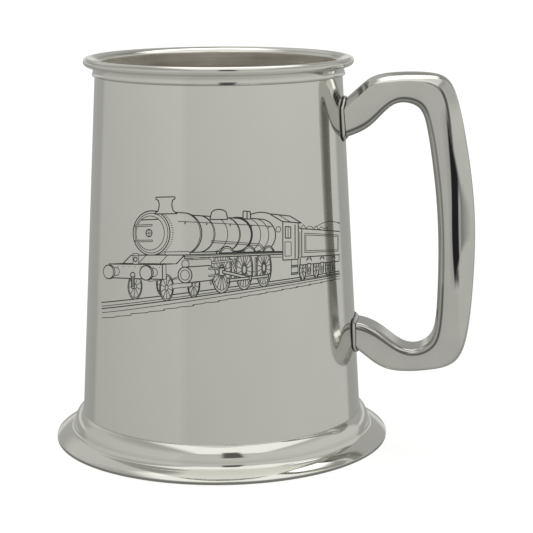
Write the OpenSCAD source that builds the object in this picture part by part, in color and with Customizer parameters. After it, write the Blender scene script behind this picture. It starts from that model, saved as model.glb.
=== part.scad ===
// Lidless one-pint tankard: a tapered sheet drum with a soldered floor, a turned lip moulding,
// a flared foot and a cast loop handle soldered on at two butts.
// Millimetres. The origin is on the drum's axis at table level, +Z up, and the handle lies along +X.

/* [Drum] */
// Outer radius of the drum's taper, carried down to table level
drum_base_r = 45; // [44:0.1:46]
// Radius lost per millimetre of height
drum_taper = 0.0565; // [0.05:0.0005:0.06]
// Thickness of the drum's sheet
sheet_t = 1.2; // [0.9:0.1:1.3]
// Height of the floor's upper face above the table
floor_top_z = 9.5; // [8:0.1:14]
// Thickness of the floor disc
floor_t = 1.4; // [1:0.1:2]

/* [Lip] */
// Height of the tankard
height = 121.3; // [120:0.1:123]
// Radius of the lip at its widest
lip_r = 41.95; // [41.6:0.05:42.4]
// Radius of the rolled bead's own section
lip_bead_r = 1.35; // [1.2:0.05:1.5]
// Radius of the crown over the top of the lip
lip_crown_r = 5; // [4.6:0.1:6]
// Radius of the hollow under the bead
lip_cove_r = 2.6; // [2.4:0.1:3]
// Radius of the lip at the deepest point of that hollow
lip_neck_r = 39; // [38.9:0.05:39.3]
// Height of the lip moulding, down to its lower edge
lip_h = 5.5; // [5.2:0.1:6]

/* [Foot] */
// Radius of the foot at the table
foot_r = 53.1; // [52.5:0.1:54]
// Height of the upright edge at the bottom of the foot
foot_edge_h = 1; // [0.8:0.1:1.2]
// Height of the foot's upper edge, where it meets the drum
foot_h = 9.4; // [9:0.1:10]
// Radius of the foot's round shoulder at its widest
foot_shoulder_r = 47.35; // [46.95:0.05:47.6]
// Height at which the shoulder is widest and the cove begins
foot_neck_z = 4.8; // [4.6:0.1:5.2]
// Radius of the cove between the shoulder and the flare
foot_cove_r = 1.9; // [1.7:0.1:2.2]

/* [Handle] */
// Width of the handle across its flat cheeks
handle_w = 12.6; // [10:0.1:15]
// Radius of the long inner edges
handle_inner_edge_r = 1.8; // [1:0.1:2.4]
// Cuts across the bar between two stations
handle_steps = 3; // [2:1:4]

/* [Solder] */
// Thickness of the film of solder in a seam
seam_t = 0.15; // [0.1:0.01:0.2]
// How far a seam shows past the edge it holds
seam_show = 0.35; // [0.2:0.05:0.5]
// Thickness of the solder under each end of the handle
pad_t = 0.4; // [0.2:0.05:0.6]
// How far that solder shows all round the butt
pad_show = 0.7; // [0.4:0.1:1]

/* [Hidden] */
$fn = 96;

// Colours
pewter = [0.72, 0.72, 0.69];
brushed = [0.62, 0.60, 0.56];
solder = [0.50, 0.50, 0.48];

// Lip: the bead's centre, its underside, the lower edge, and the height of the hollow's deepest
// point over that edge
bead_r = lip_r - lip_bead_r;
bead_z = height - lip_bead_r;
bead_low_z = bead_z - lip_bead_r;
lip_low_z = height - lip_h;
cove_rise = 1.4;

// Drum: it stands on the foot's ledge and stops inside the lip, a little below the bead
drum_foot_z = 3.2;
drum_stop = 1.2;
drum_top_z = bead_low_z - drum_stop;
function drum_r(z) = drum_base_r - drum_taper * z;
// The lip's mouth is this much wider than the drum's bore would be at the very top
mouth_ease = 0.1;
mouth_r = drum_r(height) - sheet_t + mouth_ease;

// Foot: the flare is a long roll, tangent to the cove where both slope down at flare_slope
flare_slope = 14;
shoulder_in = foot_shoulder_r - drum_r(foot_h) - seam_t;
shoulder_rise = foot_h - foot_neck_z;
shoulder_r = (shoulder_in ^ 2 + shoulder_rise ^ 2) / (2 * shoulder_in);
cove_x = foot_shoulder_r + foot_cove_r;
flare_x = cove_x - foot_cove_r * sin(flare_slope);
flare_z = foot_neck_z - foot_cove_r * cos(flare_slope);
to_edge = [foot_r - flare_x, foot_edge_h - flare_z];
roll_n = [sin(flare_slope), cos(flare_slope)];
roll_r = (to_edge * to_edge) / (-2 * (to_edge * roll_n));
roll_c = [flare_x, flare_z] - roll_r * roll_n;
// Thickness of the flare, width and height of the ring that stands on the table, and how far the
// ledge under the drum shows inside it
foot_wall = 1.3;
foot_tread = 1.6;
tread_h = 0.3;
ledge_show = 0.2;
ledge_r = drum_r(drum_foot_z) - sheet_t - ledge_show;
// Inner end of the hollow under the flare, out from the point where the flare begins
hollow_shift = 0.4;
// A length that reaches past the drum and the foot, and a length that a cut runs past a face
reach = 60;
past = 1;

// Handle stations, from inside the upper butt round to inside the lower one. Each is a cut across
// the bar: outer edge [x, z], inner edge [x, z], and the rise of the crown over the flat cheeks.
// The edges are cubic B-splines drawn by these points.
handle_stations = [
    [[28.5, 99.0], [31.0, 93.5], 2.2],
    [[36.0, 105.5], [38.5, 96.5], 2.2],
    [[43.5, 112.0], [46.0, 99.0], 2.2],
    [[47.5, 116.0], [50.0, 103.0], 2.2],
    [[56.0, 117.0], [54.5, 108.0], 2.2],
    [[64.0, 117.0], [59.5, 108.0], 2.3],
    [[71.5, 116.0], [63.5, 106.0], 3.6],
    [[74.5, 108.0], [65.0, 99.5], 4.3],
    [[77.0, 96.0], [66.0, 94.0], 4.8],
    [[79.5, 80.5], [68.0, 80.0], 6.0],
    [[80.5, 66.0], [69.0, 65.5], 7.0],
    [[80.0, 50.0], [69.0, 50.5], 5.0],
    [[79.0, 36.0], [68.5, 37.5], 2.3],
    [[76.5, 25.0], [67.0, 32.5], 1.6],
    [[68.0, 23.0], [62.5, 30.0], 1.6],
    [[60.0, 22.0], [58.0, 30.5], 1.6],
    [[52.5, 22.5], [53.5, 34.0], 1.6],
    [[47.5, 26.0], [49.5, 37.0], 1.6],
    [[42.0, 30.5], [44.0, 39.0], 1.6],
    [[36.0, 35.0], [38.0, 38.5], 1.6],
    [[30.0, 39.5], [32.0, 38.0], 1.6]
];
// Points round each corner of the section and over half of its crown
corner_points = 3;
crown_points = 5;
// Radius of the edge between cheek and crown, and where its middle point lies, in shares of it
cheek_edge_r = 0.5;
cheek_edge_in = 0.3;
cheek_edge_up = 0.1;

// Lowest and highest point of each end of the handle where it stands on the drum
upper_butt = [96.9, 108.1];
lower_butt = [29.5, 38.6];
// Corner radius of the solder round each end
pad_corner = 2;

function bspline(p, i, t) =
    (p[i] * (1 - t) ^ 3 + p[i + 1] * (3 * t ^ 3 - 6 * t ^ 2 + 4)
    + p[i + 2] * (-3 * t ^ 3 + 3 * t ^ 2 + 3 * t + 1) + p[i + 3] * t ^ 3) / 6;

// Half of the section as [across, depth] from the middle of the inner face to the crown's ridge
function half_section(depth, crown) =
    let (w = handle_w / 2, r = handle_inner_edge_r, e = cheek_edge_r, shoulder = depth - crown)
    concat(
        [[0, 0]],
        [for (k = [0:corner_points]) let (a = 90 * k / corner_points)
            [w - r + r * sin(a), r - r * cos(a)]],
        [[w, shoulder - e], [w - cheek_edge_in * e, shoulder + cheek_edge_up * e]],
        [for (k = [1:crown_points]) let (s = 1 - k / crown_points, x = (w - e) * s)
            [x, depth - crown * (x / w) ^ 2]]
    );

function mirrored(half) =
    concat(half, [for (k = [len(half) - 2:-1:1]) [-half[k][0], half[k][1]]]);

// One ring of points in space, from an evaluated station
function ring(outer, inner, crown) =
    let (along = outer - inner, depth = norm(along), d = along / depth)
    [for (q = mirrored(half_section(depth, crown)))
        [inner[0] + d[0] * q[1], q[0], inner[1] + d[1] * q[1]]];

handle_rings = [
    for (i = [0:len(handle_stations) - 4])
        for (k = [0:handle_steps - (i == len(handle_stations) - 4 ? 0 : 1)])
            let (
                t = k / handle_steps,
                outer = bspline([for (s = handle_stations) s[0]], i, t),
                inner = bspline([for (s = handle_stations) s[1]], i, t),
                crown = bspline([for (s = handle_stations) s[2]], i, t)
            )
            ring(outer, inner, crown)
];

// Skin over a list of rings that all have the same number of points
module skin(rings) {
    n = len(rings[0]);
    last = (len(rings) - 1) * n;
    points = [for (r = rings) each r];
    sides = [
        for (i = [0:len(rings) - 2])
            for (k = [0:n - 1])
                let (a = i * n + k, b = i * n + (k + 1) % n)
                each [[a, b, b + n], [a, b + n, a + n]]
    ];
    caps = [[for (k = [n - 1:-1:0]) k], [for (k = [0:n - 1]) last + k]];
    polyhedron(points = points, faces = concat(sides, caps), convexity = 6);
}

// The drum as a solid profile: everything inside its outer face, grown by clear
module drum_profile(low, high, clear = 0) {
    polygon([
        [0, low - clear],
        [drum_r(low) + clear, low - clear],
        [drum_r(high) + clear, high + clear],
        [0, high + clear]
    ]);
}

module drum_bore_profile() {
    polygon([
        [0, -past],
        [drum_r(-past) - sheet_t, -past],
        [drum_r(height) - sheet_t, height],
        [0, height]
    ]);
}

module lip_profile() {
    translate([bead_r, bead_z]) circle(r = lip_bead_r);
    intersection() {
        translate([bead_r, height - lip_crown_r]) circle(r = lip_crown_r);
        translate([mouth_r, bead_low_z]) square([bead_r - mouth_r, 2 * lip_bead_r]);
    }
    difference() {
        translate([mouth_r, lip_low_z]) square([bead_r - mouth_r, bead_low_z - lip_low_z]);
        translate([lip_neck_r + lip_cove_r, lip_low_z + cove_rise]) circle(r = lip_cove_r);
    }
}

module foot_profile() {
    intersection() {
        translate([foot_shoulder_r - shoulder_r, foot_neck_z]) circle(r = shoulder_r);
        translate([ledge_r, foot_neck_z]) square([reach, shoulder_rise]);
    }
    difference() {
        translate([ledge_r, 0]) square([flare_x - ledge_r, foot_neck_z]);
        translate([cove_x, foot_neck_z]) circle(r = foot_cove_r);
    }
    intersection() {
        translate(roll_c) circle(r = roll_r);
        translate([flare_x, 0]) square([foot_r - flare_x, foot_neck_z]);
    }
}

module foot_hollow_profile() {
    polygon([
        [0, -past],
        [foot_r - foot_tread, -past],
        [foot_r - foot_tread, tread_h],
        [flare_x + hollow_shift, flare_z - foot_wall],
        [ledge_r, drum_foot_z - foot_wall],
        [0, drum_foot_z - foot_wall]
    ]);
}

// Solder that follows the drum's outer face between two heights, under one end of the handle
module handle_pad(butt) {
    r = handle_w / 2 + pad_show;
    low = butt[0] - pad_show;
    high = butt[1] + pad_show;
    intersection() {
        rotate_extrude() difference() {
            drum_profile(low - past, high + past, pad_t);
            drum_profile(low - 3 * past, high + 3 * past);
        }
        rotate([90, 0, 90]) linear_extrude(height = reach) union() {
            translate([-r, low + pad_corner]) square([2 * r, high - low - 2 * pad_corner]);
            translate([pad_corner - r, low]) square([2 * (r - pad_corner), high - low]);
            for (side = [-1, 1], z = [low + pad_corner, high - pad_corner])
                translate([side * (r - pad_corner), z]) circle(r = pad_corner);
        }
    }
}

module barrel() {
    color(pewter)
    rotate_extrude() difference() {
        drum_profile(drum_foot_z, drum_top_z);
        drum_bore_profile();
    }
}

module lip_moulding() {
    color(pewter)
    rotate_extrude() difference() {
        lip_profile();
        drum_profile(0, drum_top_z, seam_t);
    }
}

module floor_disc() {
    color(brushed)
    translate([0, 0, floor_top_z - floor_t])
    cylinder(r = drum_r(floor_top_z) - sheet_t - seam_t, h = floor_t);
}

module foot_ring() {
    color(pewter)
    rotate_extrude() difference() {
        foot_profile();
        foot_hollow_profile();
        drum_profile(drum_foot_z, height, seam_t);
    }
}

module handle() {
    color(pewter)
    difference() {
        skin(handle_rings);
        rotate_extrude() drum_profile(0, height, pad_t);
    }
}

module rim_seam_solder() {
    color(solder)
    rotate_extrude() difference() {
        drum_profile(0, drum_top_z, seam_t);
        drum_profile(0, drum_top_z);
        drum_bore_profile();
        translate([0, -past]) square([reach, lip_low_z - seam_show + past]);
    }
}

module floor_seam_solder() {
    low = floor_top_z - floor_t;
    in_low = drum_r(low) - sheet_t;
    in_high = drum_r(floor_top_z + seam_show) - sheet_t;
    disc_r = drum_r(floor_top_z) - sheet_t - seam_t;
    color(solder)
    rotate_extrude()
    polygon([
        [disc_r, low],
        [in_low, low],
        [in_high, floor_top_z + seam_show],
        [disc_r - seam_show, floor_top_z],
        [disc_r, floor_top_z]
    ]);
}

module foot_seam_solder() {
    color(solder)
    rotate_extrude() difference() {
        drum_profile(drum_foot_z, height, seam_t);
        drum_profile(drum_foot_z, height);
        drum_bore_profile();
        translate([0, foot_h + seam_show]) square([reach, height]);
    }
}

module upper_handle_solder() {
    color(solder) handle_pad(upper_butt);
}

module lower_handle_solder() {
    color(solder) handle_pad(lower_butt);
}

barrel();
lip_moulding();
floor_disc();
foot_ring();
handle();
rim_seam_solder();
floor_seam_solder();
foot_seam_solder();
upper_handle_solder();
lower_handle_solder();
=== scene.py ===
"""A lidless pewter tankard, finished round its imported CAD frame, with a line engraving on its drum.

Lengths are in millimetres, but the engraved scene and the studio are laid out in metres, and meshes
are written in metres. The drum's axis is Z, the handle is along +X and the table is at Z = 0.
"""

import math

import bmesh
import bpy
from mathutils import Matrix, Vector


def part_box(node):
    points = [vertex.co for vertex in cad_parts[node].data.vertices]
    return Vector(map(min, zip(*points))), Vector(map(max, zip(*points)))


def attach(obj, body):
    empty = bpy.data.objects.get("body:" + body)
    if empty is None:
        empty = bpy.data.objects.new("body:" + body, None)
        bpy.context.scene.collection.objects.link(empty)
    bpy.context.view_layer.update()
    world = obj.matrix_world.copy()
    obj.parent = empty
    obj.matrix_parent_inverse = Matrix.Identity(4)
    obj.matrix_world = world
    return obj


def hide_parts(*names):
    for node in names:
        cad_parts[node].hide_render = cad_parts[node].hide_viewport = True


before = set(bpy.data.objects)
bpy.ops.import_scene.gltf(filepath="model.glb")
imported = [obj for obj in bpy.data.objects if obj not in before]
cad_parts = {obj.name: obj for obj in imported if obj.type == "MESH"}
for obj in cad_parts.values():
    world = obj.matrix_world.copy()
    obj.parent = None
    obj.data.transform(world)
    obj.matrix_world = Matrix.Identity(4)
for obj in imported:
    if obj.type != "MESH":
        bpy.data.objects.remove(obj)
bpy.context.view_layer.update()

MM = 0.001


def box_mm(node):
    """Lowest and highest corner of a CAD node, in millimetres."""
    low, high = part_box(node)
    return low / MM, high / MM


# ---------- dimensions

foot_box = box_mm("foot_ring")
lip_box = box_mm("lip_moulding")
barrel_box = box_mm("barrel")
floor_box = box_mm("floor_disc")

# Drum: a cone of sheet. Its base radius is at table level, and SEAM is the gap for solder.
DRUM_TAPER = 0.0565
SHEET = 1.2
DRUM_LOW = barrel_box[0].z
DRUM_HIGH = barrel_box[1].z
DRUM_BASE_R = barrel_box[1].x + DRUM_TAPER * DRUM_LOW
SEAM = 0.15

# Lip: a bead, a crown that falls to the mouth, and a hollow under the bead, which takes over from the
# crown at BEAD_START degrees. LIP_JOINT makes the joint in the bore too fine to see.
HEIGHT = lip_box[1].z
LIP_LOW = lip_box[0].z
BEAD_R = 1.35
CROWN_R = 5
COVE_R = 2.6
NECK_R = 39
COVE_RISE = 1.4
BEAD_X = lip_box[1].y - BEAD_R
BEAD_Z = HEIGHT - BEAD_R
MOUTH_EASE = 0.1
MOUTH_EDGE_R = 0.7
BEAD_START = 84
LIP_JOINT = 0.01

# Foot: a shoulder, a cove, a long roll and an upright edge, hollow below, with a ledge for the drum
FOOT_R = foot_box[1].x
FOOT_H = foot_box[1].z
FOOT_EDGE_H = 1.0
SHOULDER_X = 47.35
NECK_Z = 4.8
FOOT_COVE_R = 1.9
FLARE_SLOPE = 14
FOOT_WALL = 1.3
FOOT_TREAD = 1.6
TREAD_H = 0.3
HOLLOW_SHIFT = 0.4
LEDGE_SHOW = 0.2

# Handle: its width, the rounding of its inner and outer edges, and the solder under its ends
HANDLE_W = 12.6
INNER_EDGE_R = 1.8
CHEEK_EDGE_R = 0.5
PAD = 0.4
# How much shallower than the CAD bar the smooth one is, to stay inside its box
SHY = 0.03
# Outer edge, inner edge and crown of each cut across the bar, as in the CAD handle
STATIONS = [
    ((28.5, 99), (31, 93.5), 2.2),
    ((36, 105.5), (38.5, 96.5), 2.2),
    ((43.5, 112), (46, 99), 2.2),
    ((47.5, 116), (50, 103), 2.2),
    ((56, 117), (54.5, 108), 2.2),
    ((64, 117), (59.5, 108), 2.3),
    ((71.5, 116), (63.5, 106), 3.6),
    ((74.5, 108), (65, 99.5), 4.3),
    ((77, 96), (66, 94), 4.8),
    ((79.5, 80.5), (68, 80), 6),
    ((80.5, 66), (69, 65.5), 7),
    ((80, 50), (69, 50.5), 5),
    ((79, 36), (68.5, 37.5), 2.3),
    ((76.5, 25), (67, 32.5), 1.6),
    ((68, 23), (62.5, 30), 1.6),
    ((60, 22), (58, 30.5), 1.6),
    ((52.5, 22.5), (53.5, 34), 1.6),
    ((47.5, 26), (49.5, 37), 1.6),
    ((42, 30.5), (44, 39), 1.6),
    ((36, 35), (38, 38.5), 1.6),
    ((30, 39.5), (32, 38), 1.6),
]

# The picture faces this far round from -Y towards the handle, as the camera does
BEARING = math.radians(8.5)

SEGMENTS = 288
HANDLE_STEPS = 150


def drum_r(z):
    """Radius of the drum's outer face at a height."""
    return DRUM_BASE_R - DRUM_TAPER * z


# ---------- outlines

def curve(start, corner, end, t):
    """At t from 0 to 1, a place on the curve from start to end that leans to a corner."""
    return start * (1 - t) ** 2 + corner * 2 * t * (1 - t) + end * t ** 2


def arc(centre, radius, start, end, steps):
    """Points of an arc as (r, z, 0); angles in degrees, anticlockwise from +r."""
    points = []
    for k in range(steps + 1):
        a = math.radians(start + (end - start) * k / steps)
        points.append((centre[0] + radius * math.cos(a), centre[1] + radius * math.sin(a), 0))
    return points


def round_corners(corners, steps=5):
    """A closed outline from (r, z, fillet) corners, each fillet drawn as an arc."""
    outline = []
    count = len(corners)
    for k, (x, z, fillet) in enumerate(corners):
        here = Vector((x, z))
        if not fillet:
            outline.append(here)
            continue
        to_last = (Vector(corners[k - 1][:2]) - here).normalized()
        to_next = (Vector(corners[(k + 1) % count][:2]) - here).normalized()
        half = math.acos(max(-1, min(1, to_last.dot(to_next)))) / 2
        reach = fillet / math.tan(half)
        start = here + to_last * reach
        end = here + to_next * reach
        outline += [curve(start, here, end, s / steps) for s in range(steps + 1)]
    return outline


def ease(outline, longest, margin):
    """Adds points along the straights, so that shading stays flat there."""
    result = []
    for k, a in enumerate(outline):
        b = outline[(k + 1) % len(outline)]
        length = (b - a).length
        result.append(a)
        if length > 4 * margin:
            pieces = max(1, math.ceil((length - 2 * margin) / longest))
            for s in range(pieces + 1):
                t = (margin + (length - 2 * margin) * s / pieces) / length
                result.append(a.lerp(b, t))
    return result


def barrel_outline():
    """Corners of the drum's sheet, as (r, z, fillet), from the bottom outside."""
    low_r = drum_r(DRUM_LOW)
    high_r = drum_r(DRUM_HIGH)
    return [
        (low_r, DRUM_LOW, 0.1),
        (high_r, DRUM_HIGH, 0.1),
        (high_r - SHEET, DRUM_HIGH, 0.02),
        (low_r - SHEET, DRUM_LOW, 0.1),
    ]


def crossing_angles(centre_a, radius_a, centre_b, radius_b):
    """Where circle a meets circle b on its left: the point's angle about each centre, in degrees."""
    away = Vector(centre_b) - Vector(centre_a)
    bearing = math.degrees(math.atan2(away.y, away.x))
    span = away.length
    at_a = math.acos((radius_a ** 2 + span ** 2 - radius_b ** 2) / (2 * radius_a * span))
    at_b = math.acos((radius_b ** 2 + span ** 2 - radius_a ** 2) / (2 * radius_b * span))
    return bearing - math.degrees(at_a), bearing + 180 + math.degrees(at_b)


def lip_outline():
    """The lip from its mouth over the crown and bead, down the hollow and up the drum's seat.

    The few degrees left out where two arcs meet leave those edges softly rounded.
    """
    mouth = drum_r(HEIGHT) - SHEET + MOUTH_EASE
    crown_centre = (BEAD_X, HEIGHT - CROWN_R)
    crown_start = math.degrees(math.acos((mouth + MOUTH_EDGE_R - BEAD_X) / CROWN_R))
    mouth_top = crown_centre[1] + math.sqrt(CROWN_R ** 2 - (mouth - BEAD_X) ** 2)
    bead_centre = (BEAD_X, BEAD_Z)
    cove_centre = (NECK_R + COVE_R, LIP_LOW + COVE_RISE)
    bead_end, cove_start = crossing_angles(bead_centre, BEAD_R, cove_centre, COVE_R)
    cove_end = 180 + math.degrees(math.asin(COVE_RISE / COVE_R))
    hem = arc(cove_centre, COVE_R, cove_end, cove_end, 1)[0]
    return (
        [(mouth, mouth_top, MOUTH_EDGE_R)]
        + arc(crown_centre, CROWN_R, crown_start, 90, 10)
        + arc(bead_centre, BEAD_R, BEAD_START, bead_end + 3, 28)
        + arc(cove_centre, COVE_R, cove_start + 2, cove_end - 6, 14)
        + [
            (hem[0], LIP_LOW, 0.2),
            (drum_r(LIP_LOW) + SEAM, LIP_LOW, 0),
            (drum_r(DRUM_HIGH) + SEAM, DRUM_HIGH + LIP_JOINT, 0),
            (drum_r(DRUM_HIGH) - SHEET, DRUM_HIGH + LIP_JOINT, 0),
        ]
    )


def foot_outline():
    """The foot from the seam down its outside and up inside the hollow."""
    seat = drum_r(FOOT_H) + SEAM
    inward = SHOULDER_X - seat
    rise = FOOT_H - NECK_Z
    shoulder_r = (inward ** 2 + rise ** 2) / (2 * inward)
    shoulder_end = math.degrees(math.asin(rise / shoulder_r))
    cove_x = SHOULDER_X + FOOT_COVE_R
    slope = math.radians(FLARE_SLOPE)
    flare = Vector((cove_x - FOOT_COVE_R * math.sin(slope), NECK_Z - FOOT_COVE_R * math.cos(slope)))
    normal = Vector((math.sin(slope), math.cos(slope)))
    to_edge = Vector((FOOT_R, FOOT_EDGE_H)) - flare
    roll_r = to_edge.dot(to_edge) / (-2 * to_edge.dot(normal))
    centre = flare - normal * roll_r
    roll_end = math.degrees(math.atan2(FOOT_EDGE_H - centre.y, FOOT_R - centre.x))
    roll = arc(centre, roll_r, 90 - FLARE_SLOPE, roll_end, 16)
    ledge = drum_r(DRUM_LOW) - SHEET - LEDGE_SHOW
    return (
        arc((SHOULDER_X - shoulder_r, NECK_Z), shoulder_r, shoulder_end, 0, 14)
        + arc((cove_x, NECK_Z), FOOT_COVE_R, 183, 268 - FLARE_SLOPE, 18)
        + roll[:-1]
        + [
            (FOOT_R, FOOT_EDGE_H, 0.22),
            (FOOT_R, 0, 0.25),
            (FOOT_R - FOOT_TREAD, 0, 0.2),
            (FOOT_R - FOOT_TREAD, TREAD_H, 0.15),
            (flare.x + HOLLOW_SHIFT, flare.y - FOOT_WALL, 0.5),
            (ledge, DRUM_LOW - FOOT_WALL, 0.1),
            (ledge, DRUM_LOW - SEAM, 0.1),
            (drum_r(DRUM_LOW) + SEAM, DRUM_LOW - SEAM, 0.05),
        ]
    )


def floor_path():
    """The floor disc from its dimple to the middle of its underside."""
    rim = floor_box[1].x
    top = floor_box[1].z
    low = floor_box[0].z
    dimple = 0.12
    dimple_r = 1.2
    dimple_edge_r = 2.0
    flat = 0.6
    upper = ((0, top - dimple), (dimple_r, top - dimple), (dimple_edge_r, top))
    across = (rim / 2, rim - flat, rim)
    return [*upper, *((r, top) for r in across), *((r, low) for r in across[::-1]), (0, low)]


# ---------- meshes

def finish_mesh(name, points, faces, sharp=50, painted_shade=None):
    """Object from points in millimetres, smooth except at sharp edges."""
    mesh = bpy.data.meshes.new(name)
    mesh.from_pydata([tuple(c * MM for c in p) for p in points], [], faces)
    # A share of painted shade for each point, if given, is kept as an attribute
    if painted_shade:
        mesh.attributes.new("painted_shade", "FLOAT", "POINT").data.foreach_set("value", painted_shade)
    bm = bmesh.new()
    bm.from_mesh(mesh)
    bmesh.ops.remove_doubles(bm, verts=bm.verts, dist=1e-8)
    bmesh.ops.recalc_face_normals(bm, faces=bm.faces)
    bm.to_mesh(mesh)
    bm.free()
    mesh.shade_smooth()
    mesh.set_sharp_from_angle(angle=math.radians(sharp))
    piece = bpy.data.objects.new(name, mesh)
    bpy.context.scene.collection.objects.link(piece)
    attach(piece, "root")
    return piece


def grid_faces(rings, across, closed_rings=False, closed_across=True):
    """Quads over a grid of points stored ring after ring."""
    faces = []
    for i in range(rings if closed_rings else rings - 1):
        for k in range(across if closed_across else across - 1):
            a = i * across + k
            b = i * across + (k + 1) % across
            c = (i + 1) % rings * across + (k + 1) % across
            d = (i + 1) % rings * across + k
            faces.append((a, b, c, d))
    return faces


def lathe(name, outline, closed=True):
    """Turns an outline of (r, z) about the Z axis."""
    points = []
    for i in range(SEGMENTS):
        a = 2 * math.pi * i / SEGMENTS
        for p in outline:
            points.append((p[0] * math.cos(a), p[0] * math.sin(a), p[1]))
    faces = grid_faces(SEGMENTS, len(outline), True, closed)
    return finish_mesh(name, points, faces)


def spline(values, t):
    """A cubic B-spline drawn by the values, at t from 0 to len(values) - 3."""
    i = min(int(t), len(values) - 4)
    u = t - i
    weights = (
        (1 - u) ** 3,
        3 * u ** 3 - 6 * u ** 2 + 4,
        -3 * u ** 3 + 3 * u ** 2 + 3 * u + 1,
        u ** 3,
    )
    return sum(w * v for w, v in zip(weights, values[i:i + 4])) / 6


COLUMNS = zip(*((*outer, *inner, crown) for outer, inner, crown in STATIONS))
OUTER_X, OUTER_Z, INNER_X, INNER_Z, CROWNS = COLUMNS
LAST_T = len(STATIONS) - 3


# Points of the bar's half section. By their numbers, 0 to 2 lie on the inner face, 3 to 11 round its
# edge, 12 to 15 on the cheek, 16 to 21 round the cheek's outer edge, and 22 to 32 over the crown.
INNER_SHARES = (0, 0.5, 0.93)
INNER_STEPS = 8
CHEEK_SHARES = (0.025, 0.08, 0.5, 0.92)
EDGE_STEPS = 5
CROWN_SHARES = (0.97, 0.94, 0.91, 0.87, 0.82, 0.72, 0.6, 0.45, 0.3, 0.15, 0)


# A ring round the bar has both halves, with the middle points once
HALF_POINTS = len(INNER_SHARES) + INNER_STEPS + 1 + len(CHEEK_SHARES) + EDGE_STEPS + 1 + len(CROWN_SHARES)
RING_POINTS = 2 * HALF_POINTS - 2


def half_section(depth, crown):
    """Half of the bar's section as (across, depth), from inner face to ridge."""
    w = HANDLE_W / 2
    r = INNER_EDGE_R
    e = CHEEK_EDGE_R
    shoulder = depth - crown
    points = [((w - r) * share, 0) for share in INNER_SHARES]
    for k in range(INNER_STEPS + 1):
        a = math.radians(90 * k / INNER_STEPS)
        points.append((w - r + r * math.sin(a), r - r * math.cos(a)))
    for share in CHEEK_SHARES:
        points.append((w, r + (shoulder - e - r) * share))
    edge_end = (w - e, depth - crown * ((w - e) / w) ** 2)
    for k in range(EDGE_STEPS + 1):
        t = k / EDGE_STEPS
        points.append((curve(w, w, edge_end[0], t), curve(shoulder - e, shoulder, edge_end[1], t)))
    for share in CROWN_SHARES:
        x = (w - e) * share
        points.append((x, depth - crown * (x / w) ** 2))
    return points


def section_point(k, t):
    """Point k of the section at t along the handle. Point 0 is the middle of the inner face."""
    outer = Vector((spline(OUTER_X, t), spline(OUTER_Z, t)))
    inner = Vector((spline(INNER_X, t), spline(INNER_Z, t)))
    along = outer - inner
    half = half_section(along.length - SHY, spline(CROWNS, t))
    side = 1 if k < HALF_POINTS else -1
    across, depth = half[k if side == 1 else RING_POINTS - k]
    spot = inner + along.normalized() * depth
    return Vector((spot.x, side * across, spot.y))


def outside_drum(point, clear):
    """How far a point is outside the drum's face grown by clear."""
    return math.hypot(point.x, point.y) - drum_r(point.z) - clear


def meets_drum(k, inside_t, outside_t):
    """Where line k of the handle comes out through the drum's face."""
    for _ in range(40):
        middle = (inside_t + outside_t) / 2
        if outside_drum(section_point(k, middle), PAD * 0.5) < 0:
            inside_t = middle
        else:
            outside_t = middle
    return (inside_t + outside_t) / 2


# How far from either end of the handle its lines may come out of the drum
BUTT_SEARCH = 5
upper_t = [meets_drum(k, 0, BUTT_SEARCH) for k in range(RING_POINTS)]
lower_t = [meets_drum(k, LAST_T, LAST_T - BUTT_SEARCH) for k in range(RING_POINTS)]


def smooth(value, low, high):
    """0 below low, 1 above high, and an even rise between."""
    t = max(0, min(1, (value - low) / (high - low)))
    return t * t * (3 - 2 * t)


# Painted shade on the bar, standing in for the dark reflections in its faces, as (point of the half
# section, depth): a line where the inner edge meets the cheek, one over the cheek's outer edge on the grip,
# its thin run round the upper corner, a bright streak of painted highlight in the grip's line, and a light
# painted shade on the top
INNER_LINE = ((3, 0.25), (6, 0.4), (8, 0.25), (9, 0.3), (10, 0.75), (11, 1), (12, 0.6), (13, 0.05), (14, 0))
OUTER_LINE = ((14, 0), (15, 0.2), (16, 0.95), (17, 1), (22, 1), (23, 0.95), (24, 0.8), (25, 0.62),
              (26, 0.5), (27, 0.32), (28, 0.15), (29, 0))
EDGE_LINE = ((16, 0), (18, 0.85), (20, 0.85), (22, 0))
STREAK = ((22, 0), (23, 1), (24, 1), (25, 0))
CROWN_SHADE = ((20, 0), (21, 0.1), (24, 0.2), (32, 0.2))
# Where those marks lie: each rise or fall is the pair of places between which a mark comes or goes.
# The grip's line tapers: its ends draw in by GRIP_POINT for each point of the section past the edge.
CHEEK_EDGE_POINT = 16
GRIP_LOW = 50
GRIP_HIGH = 108
GRIP_POINT = (1.2, 2.4)
GRIP_FADE = (3, 6)
GRIP_RISE_X = (60, 66)
EDGE_RISE = (50, 54)
EDGE_FALL = (111, 115)
STREAK_RISE = (50, 60)
STREAK_FALL = (76, 86)
TOP_RISE = (104, 110)
TOP_RISE_X = (40, 50)


def window(value, rise, fall):
    return smooth(value, *rise) * (1 - smooth(value, *fall))


def read_off(stops, k):
    """The value at k between (place, value) stops."""
    k = max(stops[0][0], min(stops[-1][0], k))
    for (k0, v0), (k1, v1) in zip(stops, stops[1:]):
        if k <= k1:
            return v0 + (v1 - v0) * (k - k0) / (k1 - k0)


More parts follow.
